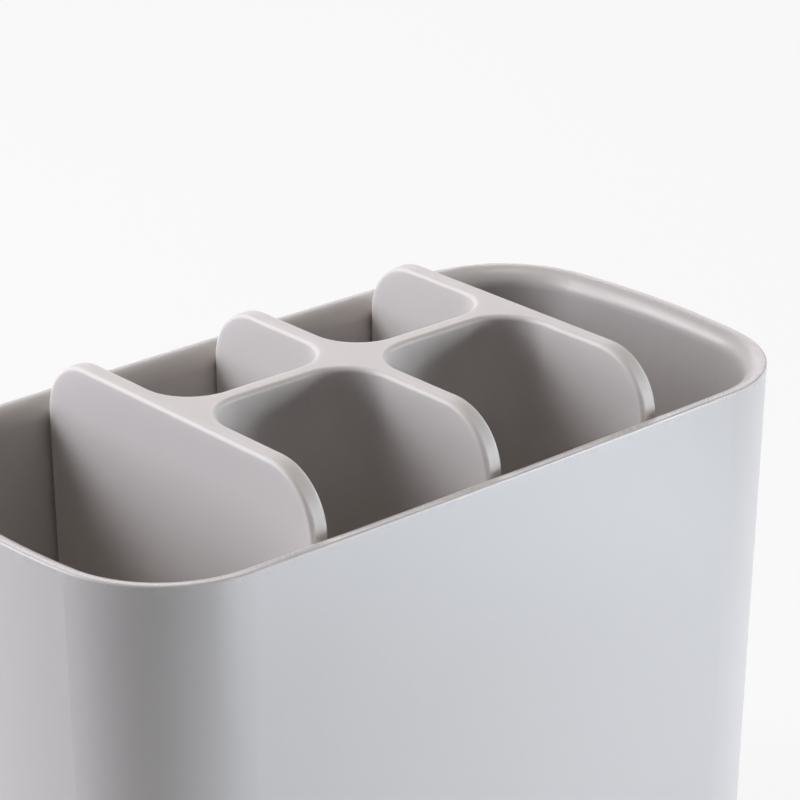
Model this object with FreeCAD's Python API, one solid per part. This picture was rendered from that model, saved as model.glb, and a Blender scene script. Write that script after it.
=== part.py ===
# Toothbrush holder: a tapered, soft-cornered shell on four feet, with a lift-out divider.
# Millimetres. +X runs along the length, +Y to the rear and +Z up, with the origin on the
# counter under the middle of the shell.

import FreeCAD, Part
import math
import os

# Shell, outside sizes at the rim
rim_length = 176.4
rim_depth = 93.0
rim_height = 115.0
corner_radius = 26.0
end_bow_radius = 164.0
side_bow_radius = 3100.0
draft_share = 0.016

# Shell wall, floor and edges
shell_wall = 4.6
floor_thickness = 3.5
floor_radius = 4.0
heel_radius = 2.5
rim_outer_radius = 0.4
rim_land = 0.2
recess_depth = 1.5
recess_margin = 7.0

# Feet
foot_diameter = 14.0
foot_stand = 1.0
foot_seat_depth = 1.0
foot_seat_gap = 0.1
foot_margin = 2.0
foot_edge_radius = 0.6

# Divider
divider_rise = 10.6
divider_wall = 4.0
cell_pitch = 42.2
cell_corner_radius = 10.0
crown_radius = 12.6
divider_edge_radius = 1.0
divider_rim_gap = 0.6
middle_rim_gap = 0.3
divider_floor_gap = 0.6
divider_seat_gap = 0.2
divider_heel_gap = 0.5

# How far a cutting solid runs past the face that it opens
overrun = 5.0

# Faces that meet at more than this angle have a sharp edge between them
sharp_angle = math.radians(30)

half_length = rim_length / 2
half_depth = rim_depth / 2
rim_inner_radius = shell_wall - rim_outer_radius - rim_land
recess_roof = foot_stand + recess_depth
floor_top = recess_roof + floor_thickness
divider_bottom = floor_top + divider_seat_gap
divider_top = rim_height + divider_rise


def circle_crossing(first, first_radius, second, second_radius):
    """Return where two circles cross, to the right of the way from the first to the second."""
    way = second - first
    apart = way.Length
    along = (apart ** 2 + first_radius ** 2 - second_radius ** 2) / (2 * apart)
    across = math.sqrt(first_radius ** 2 - along ** 2)
    forward = way / apart
    right = FreeCAD.Vector(forward.y, -forward.x, 0)
    return first + forward * along + right * across


# The plan is eight tangent arcs: two bowed ends, two nearly straight sides and four corners.
# An outline drawn in by an inset keeps the same centres and takes the inset off each radius.
end_centre = FreeCAD.Vector(half_length - end_bow_radius, 0, 0)
side_centre = FreeCAD.Vector(0, half_depth - side_bow_radius, 0)
corner_centre = circle_crossing(
    side_centre, side_bow_radius - corner_radius, end_centre, end_bow_radius - corner_radius)
end_turn = math.atan2(corner_centre.y, corner_centre.x - end_centre.x)
side_turn = math.atan2(corner_centre.y - side_centre.y, corner_centre.x)


def arc_edge(centre_x, centre_y, radius, start, end, height):
    """Return a level arc about a centre, from one angle to another."""
    points = []
    for angle in (start, (start + end) / 2, end):
        x = centre_x + radius * math.cos(angle)
        y = centre_y + radius * math.sin(angle)
        points.append(FreeCAD.Vector(x, y, height))
    return Part.Arc(*points).toShape()


def plan_wire(inset, height):
    """Return the rim's outline, drawn in by an inset, as a closed wire at a height."""
    edges = []
    for start, side in ((0, 1), (math.pi, -1)):
        far = start + math.pi
        corner_x = side * corner_centre.x
        corner_y = side * corner_centre.y
        end_radius = end_bow_radius - inset
        round_radius = corner_radius - inset
        side_radius = side_bow_radius - inset
        edges += [
            arc_edge(side * end_centre.x, 0, end_radius, start - end_turn, start + end_turn, height),
            arc_edge(corner_x, corner_y, round_radius, start + end_turn, start + side_turn, height),
            arc_edge(0, side * side_centre.y, side_radius, start + side_turn, far - side_turn, height),
            arc_edge(-corner_x, corner_y, round_radius, far - side_turn, far - end_turn, height),
        ]
    return Part.Wire(edges)


def draft_inset(height):
    """Return how far the tapered outside stands in from the rim's outline at a height."""
    return draft_share * (rim_height - height)


def tapered_solid(inset, bottom, top):
    """Return a solid between two heights that follows the tapered outside at an inset."""
    wires = [plan_wire(inset + draft_inset(height), height) for height in (bottom, top)]
    return Part.makeLoft(wires, True, True)


def side_reach(inset, along):
    """Return the half depth of the outline, drawn in by an inset, at a place along the length."""
    past_corner = along - corner_centre.x
    if past_corner > 0:
        return corner_centre.y + math.sqrt((corner_radius - inset) ** 2 - past_corner ** 2)
    return side_centre.y + math.sqrt((side_bow_radius - inset) ** 2 - along ** 2)


def lowest_face(shape):
    return min(shape.Faces, key=lambda face: face.CenterOfMass.z)


def highest_face(shape):
    return max(shape.Faces, key=lambda face: face.CenterOfMass.z)


def rounded(shape, radius, edges):
    """Return the solid with a round of one radius along some of its edges."""
    return shape.makeFillet(radius, edges).Solids[0]


def sharp_edges(shape):
    """Return the edges where two faces meet at an angle instead of running on smoothly."""
    found = []
    for edge in shape.Edges:
        middle = edge.valueAt((edge.FirstParameter + edge.LastParameter) / 2)
        faces = shape.ancestorsOfType(edge, Part.Face)
        normals = [face.normalAt(*face.Surface.parameter(middle)) for face in faces]
        if normals[0].getAngle(normals[-1]) > sharp_angle:
            found.append(edge)
    return found


def foot_places():
    """Return each foot's name and centre, out towards the corners of the recess."""
    reach = corner_radius - draft_inset(foot_stand) - recess_margin - foot_margin - foot_diameter / 2
    foot_x = corner_centre.x + reach * math.cos(math.pi / 4)
    foot_y = corner_centre.y + reach * math.sin(math.pi / 4)
    places = {}
    for row, row_side in (("front", -1), ("rear", 1)):
        for column, column_side in (("left", -1), ("right", 1)):
            name = "foot_" + row + "_" + column
            places[name] = FreeCAD.Vector(column_side * foot_x, row_side * foot_y, 0)
    return places


def make_foot(place):
    """Return a soft round foot that fills its seat and stands on the counter."""
    foot = Part.makeCylinder(foot_diameter / 2, recess_roof + foot_seat_depth, place)
    return rounded(foot, foot_edge_radius, lowest_face(foot).Edges)


def make_outer_shell():
    """Return the tapered tub, with its rolled rim, recessed underside and foot seats."""
    body = tapered_solid(0, foot_stand, rim_height)
    body = rounded(body, heel_radius, lowest_face(body).Edges)

    cavity = tapered_solid(shell_wall, floor_top, rim_height + overrun)
    cavity = rounded(cavity, floor_radius, lowest_face(cavity).Edges)

    recess_outline = plan_wire(recess_margin + draft_inset(foot_stand), foot_stand - overrun)
    recess = Part.Face(recess_outline).extrude(FreeCAD.Vector(0, 0, overrun + recess_depth))

    cuts = [cavity, recess]
    for place in foot_places().values():
        seat_start = place + FreeCAD.Vector(0, 0, foot_stand)
        seat_radius = foot_diameter / 2 + foot_seat_gap
        cuts.append(Part.makeCylinder(seat_radius, recess_depth + foot_seat_depth, seat_start))
    shell = body.cut(cuts)

    # The rim rolls over to the inside in a wide round and has a tight round on the outside
    land = highest_face(shell)
    mouth = [wire for wire in land.Wires if not wire.isSame(land.OuterWire)]
    shell = rounded(shell, rim_inner_radius, mouth[0].Edges)
    return rounded(shell, rim_outer_radius, highest_face(shell).OuterWire.Edges)


def divider_blank(half_run, rim_gap):
    """Return the divider's end view, as wide as the shell allows, run to each side of the middle."""
    rim_reach = side_reach(shell_wall, half_run) - rim_gap
    floor_inset = shell_wall + draft_inset(divider_bottom)
    floor_reach = side_reach(floor_inset, half_run) - divider_floor_gap
    lean = (rim_reach - floor_reach) / (rim_height - divider_bottom)
    top_reach = rim_reach + lean * divider_rise

    outline = [(-floor_reach, divider_bottom), (floor_reach, divider_bottom),
               (top_reach, divider_top), (-top_reach, divider_top)]
    corners = [FreeCAD.Vector(-half_run, y, z) for y, z in outline]
    end_view = Part.Face(Part.makePolygon(corners, True))
    blank = end_view.extrude(FreeCAD.Vector(2 * half_run, 0, 0))

    # The lower corners clear the round where the shell's walls meet its floor
    heel_clearance = floor_radius + divider_heel_gap
    for face_at_end, radius in ((lowest_face, heel_clearance), (highest_face, crown_radius)):
        edges = [edge for edge in face_at_end(blank).Edges if edge.BoundBox.XLength > half_run]
        blank = rounded(blank, radius, edges)
    return blank


def cell_cut(column_side, row_side):
    """Return the upright slot of one cell, open at the outside and rounded beside the spine."""
    cell_width = cell_pitch - divider_wall
    left = column_side * cell_pitch / 2 - cell_width / 2
    right = left + cell_width
    near = row_side * divider_wall / 2
    far = row_side * (half_depth + overrun)
    bottom = divider_bottom - overrun
    top = divider_top + overrun

    outline = [(left, near), (right, near), (right, far), (left, far)]
    corners = [FreeCAD.Vector(x, y, bottom) for x, y in outline]
    slot = Part.Face(Part.makePolygon(corners, True)).extrude(FreeCAD.Vector(0, 0, top - bottom))
    upright = [edge for edge in slot.Edges if edge.BoundBox.ZMin < divider_bottom < edge.BoundBox.ZMax]
    beside_spine = sorted(upright, key=lambda edge: abs(edge.CenterOfMass.y))[:2]
    return rounded(slot, cell_corner_radius, beside_spine)


def make_divider():
    """Return the divider: a spine and cross walls that flow into each other, soft at every edge."""
    # The middle wall reaches nearer to the shell than the outer two
    whole = divider_blank(cell_pitch + divider_wall / 2, divider_rim_gap)
    middle = divider_blank(divider_wall / 2, middle_rim_gap)
    cells = [cell_cut(column, row) for column in (-1, 1) for row in (-1, 1)]
    divider = whole.fuse(middle).cut(cells).removeSplitter()
    return rounded(divider, divider_edge_radius, sharp_edges(divider))


nodes = {"outer_shell": make_outer_shell(), "divider": make_divider()}
for foot_name, foot_place in foot_places().items():
    nodes[foot_name] = make_foot(foot_place)

os.makedirs("parts", exist_ok=True)
for node_name, solid in nodes.items():
    solid.exportStep("parts/" + node_name + ".step")
    print(node_name, solid.ShapeType, solid.isValid(), round(solid.Volume))
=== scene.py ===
"""Toothbrush holder: the finish of its mouldings and feet, with studio light, floor and camera."""

import math

import bpy
from mathutils import Matrix, Vector


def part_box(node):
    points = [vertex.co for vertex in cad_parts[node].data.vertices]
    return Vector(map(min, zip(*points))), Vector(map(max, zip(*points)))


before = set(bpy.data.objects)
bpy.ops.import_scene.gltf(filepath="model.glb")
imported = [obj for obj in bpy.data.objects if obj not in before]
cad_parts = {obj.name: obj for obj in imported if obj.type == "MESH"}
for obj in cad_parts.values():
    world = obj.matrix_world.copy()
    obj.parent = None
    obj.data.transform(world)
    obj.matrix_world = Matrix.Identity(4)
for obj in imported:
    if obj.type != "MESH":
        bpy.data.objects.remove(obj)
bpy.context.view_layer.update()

# Lengths are in metres, lens and sensor in millimetres, angles in degrees, colours are linear

# A pale grey shell, a slightly lighter and warmer divider, and darker feet
SHELL_GREY = (0.675, 0.645, 0.63)
DIVIDER_GREY = (0.78, 0.74, 0.72)
FOOT_GREY = (0.2, 0.195, 0.19)
WHITE = (1.0, 1.0, 1.0)

# Marks in the surfaces: how far across they are, their detail, and how rough that detail is
CLOUD = (0.045, 2.0, 0.5)
MOTTLE = (0.006, 3.0, 0.55)
GRAIN = (0.0005, 2.0, 0.5)
BLOOM = (0.004, 3.0, 0.6)
PEBBLE = (0.0005, 2.0, 0.5)
MIDDLE = 0.5

# Satin plastic: how much each mark shades the colour and how much it changes the roughness
SHELL_ROUGHNESS = 0.32
DIVIDER_ROUGHNESS = 0.48
CLOUD_SHADE = 0.45
MOTTLE_SHADE = 0.25
GRAIN_SHADE = 0.1
DARK_PLASTIC = 0.98
LIGHT_PLASTIC = 1.03
MOTTLE_ROUGHNESS = 0.05
GRAIN_ROUGHNESS = 0.04
GRAIN_STRENGTH = 0.08
GRAIN_DEPTH = 0.00003
SCATTER_SHARE = 0.6
SCATTER_DEPTH = 0.0012
PLASTIC_IOR = 1.5

# Wear: edges are rubbed lighter and smoother, and the top is polished by hands; the divider's
# edges are lightened further as a painted highlight
SHELL_EDGE_TINT = 1.01
DIVIDER_EDGE_WEAR_AND_HIGHLIGHT = 1.06
RUBBED_POLISH = 0.02
HANDLED_POLISH = 0.03
HANDLED_DEPTH = 0.02
EDGE_REACH = 0.0022
EDGE_SAMPLES = 4
EDGE_OPENNESS = 0.6
WALL_OPENNESS = 0.98

# Matt rubber of the feet
DARK_RUBBER = 0.85
LIGHT_RUBBER = 1.2
RUBBER_ROUGHNESS = 0.72
PEBBLE_ROUGHNESS = 0.12
PEBBLE_STRENGTH = 0.4
PEBBLE_DEPTH = 0.00005
RUBBER_IOR = 1.5

# How the photograph was taken: the view swings about the middle of the rim
RIM_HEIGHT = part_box("outer_shell")[1].z
VIEW_AZIMUTH = -41.398
VIEW_ELEVATION = 22.734
VIEW_DISTANCE = 0.58174
VIEW_SHIFT_RIGHT = 0.009544
VIEW_SHIFT_UP = 0.000762
SENSOR_WIDTH = 36.0
LENS = 132.66
NEAR_CLIP = 0.01
QUARTER_TURN = 90

# The white that the camera and reflections see, and a floor just clear of the feet
BACKGROUND_WHITE = 0.955
FLOOR_SIZE = 6.0
FLOOR_SHADE = 0.8
FLOOR_GLOW = 0.89
FLOOR_DROP = 0.0002

# Lamps: how far round from the camera, how high, distance, width, height, power in watts, colour
LAMPS = {
    "left_softbox": (271, 18, 1.2, 0.8, 0.8, 9.8, (0.97, 1.0, 1.1)),
    "right_softbox": (82, 5, 1.6, 0.5, 0.4, 12.5, (0.94, 1.0, 1.07)),
    "left_high": (250, 38, 0.9, 0.4, 0.55, 2.6, (1.01, 1.0, 0.99)),
    "rear_panel": (180, 25, 1.0, 0.5, 0.45, 1.25, (1.04, 0.97, 1.12)),
    "overhead": (0, 90, 1.0, 0.5, 0.5, 1.8, (1.1, 1.0, 0.86)),
    "front_strip": (60, -18.5, 0.22, 0.25, 0.055, 0.12, (0.88, 1.0, 1.13)),
}
LAMP_AIM_HEIGHT = 0.1

# Sockets of a Mix node that blends two colours, and of a Mix Shader node
MIX_SHARE, MIX_FIRST, MIX_SECOND, MIX_RESULT = 0, 6, 7, 2
SHADER_SHARE, SHADER_FIRST, SHADER_SECOND = 0, 1, 2


class Socket:
    """One output of a shader node. Sums on it add Math nodes, and add() adds any other node."""

    def __init__(self, tree, output=None):
        self.tree = tree
        self.output = output

    def add(self, kind, settings=None, inputs=None, output=0):
        """Add a node to the same tree, set it up, then feed its sockets with values or links."""
        node = self.tree.nodes.new("ShaderNode" + kind)
        for name, value in (settings or {}).items():
            setattr(node, name, value)
        for name, value in (inputs or {}).items():
            if isinstance(value, Socket):
                self.tree.links.new(value.output, node.inputs[name])
            else:
                node.inputs[name].default_value = value
        return Socket(self.tree, node.outputs[output]) if node.outputs else None

    def maths(self, operation, first, second):
        """Add a Math node that works on two values or links."""
        return self.add("Math", {"operation": operation}, {0: first, 1: second})

    def __add__(self, other):
        return self.maths("ADD", self, other)

    __radd__ = __add__

    def __sub__(self, other):
        return self.maths("SUBTRACT", self, other)

    def __rsub__(self, other):
        return self.maths("SUBTRACT", other, self)

    def __mul__(self, other):
        return self.maths("MULTIPLY", self, other)

    __rmul__ = __mul__


def new_material(name):
    """Return an empty material and the start of its node tree."""
    material = bpy.data.materials.new(name)
    material.use_nodes = True
    material.node_tree.nodes.clear()
    return material, Socket(material.node_tree)


def show_surface(start, shader):
    """Link a finished shader to the material's output."""
    start.add("OutputMaterial", inputs={"Surface": shader})


def tint(colour, strength=1.0):
    """Return a colour with its alpha, lightened or darkened by a factor."""
    return (*[part * strength for part in colour], 1.0)


def blend(share, first, second):
    """Return the first colour where the share is 0 and the second where it is 1."""
    inputs = {MIX_SHARE: share, MIX_FIRST: first, MIX_SECOND: second}
    return share.add("Mix", {"data_type": "RGBA"}, inputs, MIX_RESULT)


def noise(place, size, detail, roughness):
    """Return a noise value whose marks are about one size across."""
    settings = {"noise_dimensions": "3D"}
    inputs = {"Vector": place, "Scale": 1 / size, "Detail": detail, "Roughness": roughness}
    return place.add("TexNoise", settings, inputs, "Fac")


def ramp_between(value, low, high):
    """Return 0 below one value and 1 above another, with a smooth rise between them."""
    settings = {"interpolation_type": "SMOOTHSTEP"}
    inputs = {"Value": value, "From Min": low, "From Max": high}
    return value.add("MapRange", settings, inputs, "Result")


def rounded_edges(start):
    """Return 1 on outward edges, where the plastic is thin all round, and 0 on flat walls."""
    settings = {"samples": EDGE_SAMPLES, "inside": True, "only_local": True}
    openness = start.add("AmbientOcclusion", settings, {"Distance": EDGE_REACH}, "AO")
    return 1 - ramp_between(openness, EDGE_OPENNESS, WALL_OPENNESS)


def satin_moulding(name, colour, roughness, handled_height, edge_wear_and_highlight):
    """Return satin plastic with a fine grain, rubbed along its edges and handled at its top; on
    the divider the lighter edge tint is also a painted highlight.
    """
    material, start = new_material(name)
    place = start.add("TexCoord", output="Object")
    height = place.add("SeparateXYZ", inputs={"Vector": place}, output="Z")

    cloud = noise(place, *CLOUD)
    mottle = noise(place, *MOTTLE)
    grain = noise(place, *GRAIN)
    handled = ramp_between(height, handled_height - HANDLED_DEPTH, handled_height)
    worn_and_highlit_edges = rounded_edges(start)

    shade = CLOUD_SHADE * cloud + MOTTLE_SHADE * mottle + GRAIN_SHADE * grain
    wall_colour = blend(shade, tint(colour, DARK_PLASTIC), tint(colour, LIGHT_PLASTIC))
    # Edges tinted lighter: wear, and on the divider also a painted highlight
    base = blend(worn_and_highlit_edges, wall_colour, tint(colour, edge_wear_and_highlight))
    unworn = (roughness + MOTTLE_ROUGHNESS * (mottle - MIDDLE)
              + GRAIN_ROUGHNESS * (grain - MIDDLE))
    finish = unworn - HANDLED_POLISH * handled - RUBBED_POLISH * worn_and_highlit_edges
    bump = start.add("Bump", inputs={
        "Strength": GRAIN_STRENGTH, "Distance": GRAIN_DEPTH, "Height": grain})
    shader = start.add("BsdfPrincipled", inputs={
        "Base Color": base, "Roughness": finish, "IOR": PLASTIC_IOR, "Normal": bump,
        "Subsurface Weight": SCATTER_SHARE, "Subsurface Radius": WHITE,
        "Subsurface Scale": SCATTER_DEPTH})
    show_surface(start, shader)
    return material


def soft_rubber(name, colour):
    """Return matt rubber with a fine pebbled skin."""
    material, start = new_material(name)
    place = start.add("TexCoord", output="Object")
    pebble = noise(place, *PEBBLE)
    bloom = noise(place, *BLOOM)
    base = blend(bloom, tint(colour, DARK_RUBBER), tint(colour, LIGHT_RUBBER))
    finish = RUBBER_ROUGHNESS + PEBBLE_ROUGHNESS * (pebble - MIDDLE)
    bump = start.add("Bump", inputs={
        "Strength": PEBBLE_STRENGTH, "Distance": PEBBLE_DEPTH, "Height": pebble})
    shader = start.add("BsdfPrincipled", inputs={
        "Base Color": base, "Roughness": finish, "IOR": RUBBER_IOR, "Normal": bump})
    show_surface(start, shader)
    return material


def dress(node_name, material):
    """Give a CAD node its finish."""
    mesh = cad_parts[node_name].data
    mesh.materials.clear()
    mesh.materials.append(material)


def seen_directly(start):
    """Return 1 for a ray from the camera, a reflection or a clear piece, and 0 for others."""
    seen = 0
    for ray in ("Is Camera Ray", "Is Glossy Ray", "Is Transmission Ray"):
        seen = start.add("LightPath", output=ray) + seen
    return start.add("Clamp", inputs={"Value": seen})


def lay_floor():
    """Lay a pale floor that looks white and still takes the holder's shadow."""
    bpy.ops.object.select_all(action="DESELECT")
    bpy.ops.mesh.primitive_plane_add(size=FLOOR_SIZE, location=(0, 0, -FLOOR_DROP))
    floor = bpy.context.object
    floor.name = "floor"
    material, start = new_material("pale_floor")
    matt = start.add("BsdfDiffuse", inputs={"Color": tint(WHITE, FLOOR_SHADE)})
    glow = start.add("Emission", inputs={"Color": tint(WHITE)})
    shown = seen_directly(start) * FLOOR_GLOW
    inputs = {SHADER_SHARE: shown, SHADER_FIRST: matt, SHADER_SECOND: glow}
    show_surface(start, start.add("MixShader", inputs=inputs))
    floor.data.materials.append(material)


def fill_room():
    """Surround the scene with a white that is seen and lights nothing."""
    world = bpy.data.worlds.new("studio")
    bpy.context.scene.world = world
    world.use_nodes = True
    world.node_tree.nodes.clear()
    start = Socket(world.node_tree)
    strength = BACKGROUND_WHITE * seen_directly(start)
    light = start.add("Background", inputs={"Color": tint(WHITE), "Strength": strength})
    start.add("OutputWorld", inputs={"Surface": light})


def direction(azimuth, elevation):
    """Return the way out from the holder at an azimuth and an elevation."""
    around, above = math.radians(azimuth), math.radians(elevation)
    level = math.cos(above)
    return Vector((math.sin(around) * level, -math.cos(around) * level, math.sin(above)))


def hang_lamp(name, around, elevation, distance, width, height, power, colour):
    """Hang one soft lamp, facing the holder, at an angle round from the camera."""
    light = bpy.data.lights.new(name, "AREA")
    light.shape = "RECTANGLE"
    light.size = width
    light.size_y = height
    light.energy = power
    light.color = colour
    lamp = bpy.data.objects.new(name, light)
    bpy.context.scene.collection.objects.link(lamp)
    outwards = direction(VIEW_AZIMUTH + around, elevation)
    lamp.location = Vector((0, 0, LAMP_AIM_HEIGHT)) + outwards * distance
    lamp.rotation_mode = "QUATERNION"
    lamp.rotation_quaternion = outwards.to_track_quat("Z", "Y")


def place_camera():
    """Set the camera where the photograph was taken from."""
    back = direction(VIEW_AZIMUTH, VIEW_ELEVATION)
    right = direction(VIEW_AZIMUTH + QUARTER_TURN, 0)
    up = back.cross(right)
    data = bpy.data.cameras.new("camera")
    data.sensor_width = SENSOR_WIDTH
    data.lens = LENS
    data.clip_start = NEAR_CLIP
    camera = bpy.data.objects.new("camera", data)
    bpy.context.scene.collection.objects.link(camera)
    rim_middle = Vector((0, 0, RIM_HEIGHT))
    shift = right * VIEW_SHIFT_RIGHT + up * VIEW_SHIFT_UP
    turn = Matrix((right, up, back)).transposed().to_4x4()
    camera.matrix_world = Matrix.Translation(rim_middle + back * VIEW_DISTANCE + shift) @ turn
    bpy.context.scene.camera = camera


divider_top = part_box("divider")[1].z
dress("outer_shell", satin_moulding(
    "shell_satin_plastic", SHELL_GREY, SHELL_ROUGHNESS, RIM_HEIGHT, SHELL_EDGE_TINT))
dress("divider", satin_moulding(
    "divider_satin_plastic", DIVIDER_GREY, DIVIDER_ROUGHNESS, divider_top, DIVIDER_EDGE_WEAR_AND_HIGHLIGHT))
foot_rubber = soft_rubber("foot_rubber", FOOT_GREY)
for node_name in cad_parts:
    if node_name.startswith("foot_"):
        dress(node_name, foot_rubber)

lay_floor()
fill_room()
for lamp_name, lamp_setup in LAMPS.items():
    hang_lamp(lamp_name, *lamp_setup)
place_camera()
bpy.context.scene.view_settings.view_transform = "Standard"
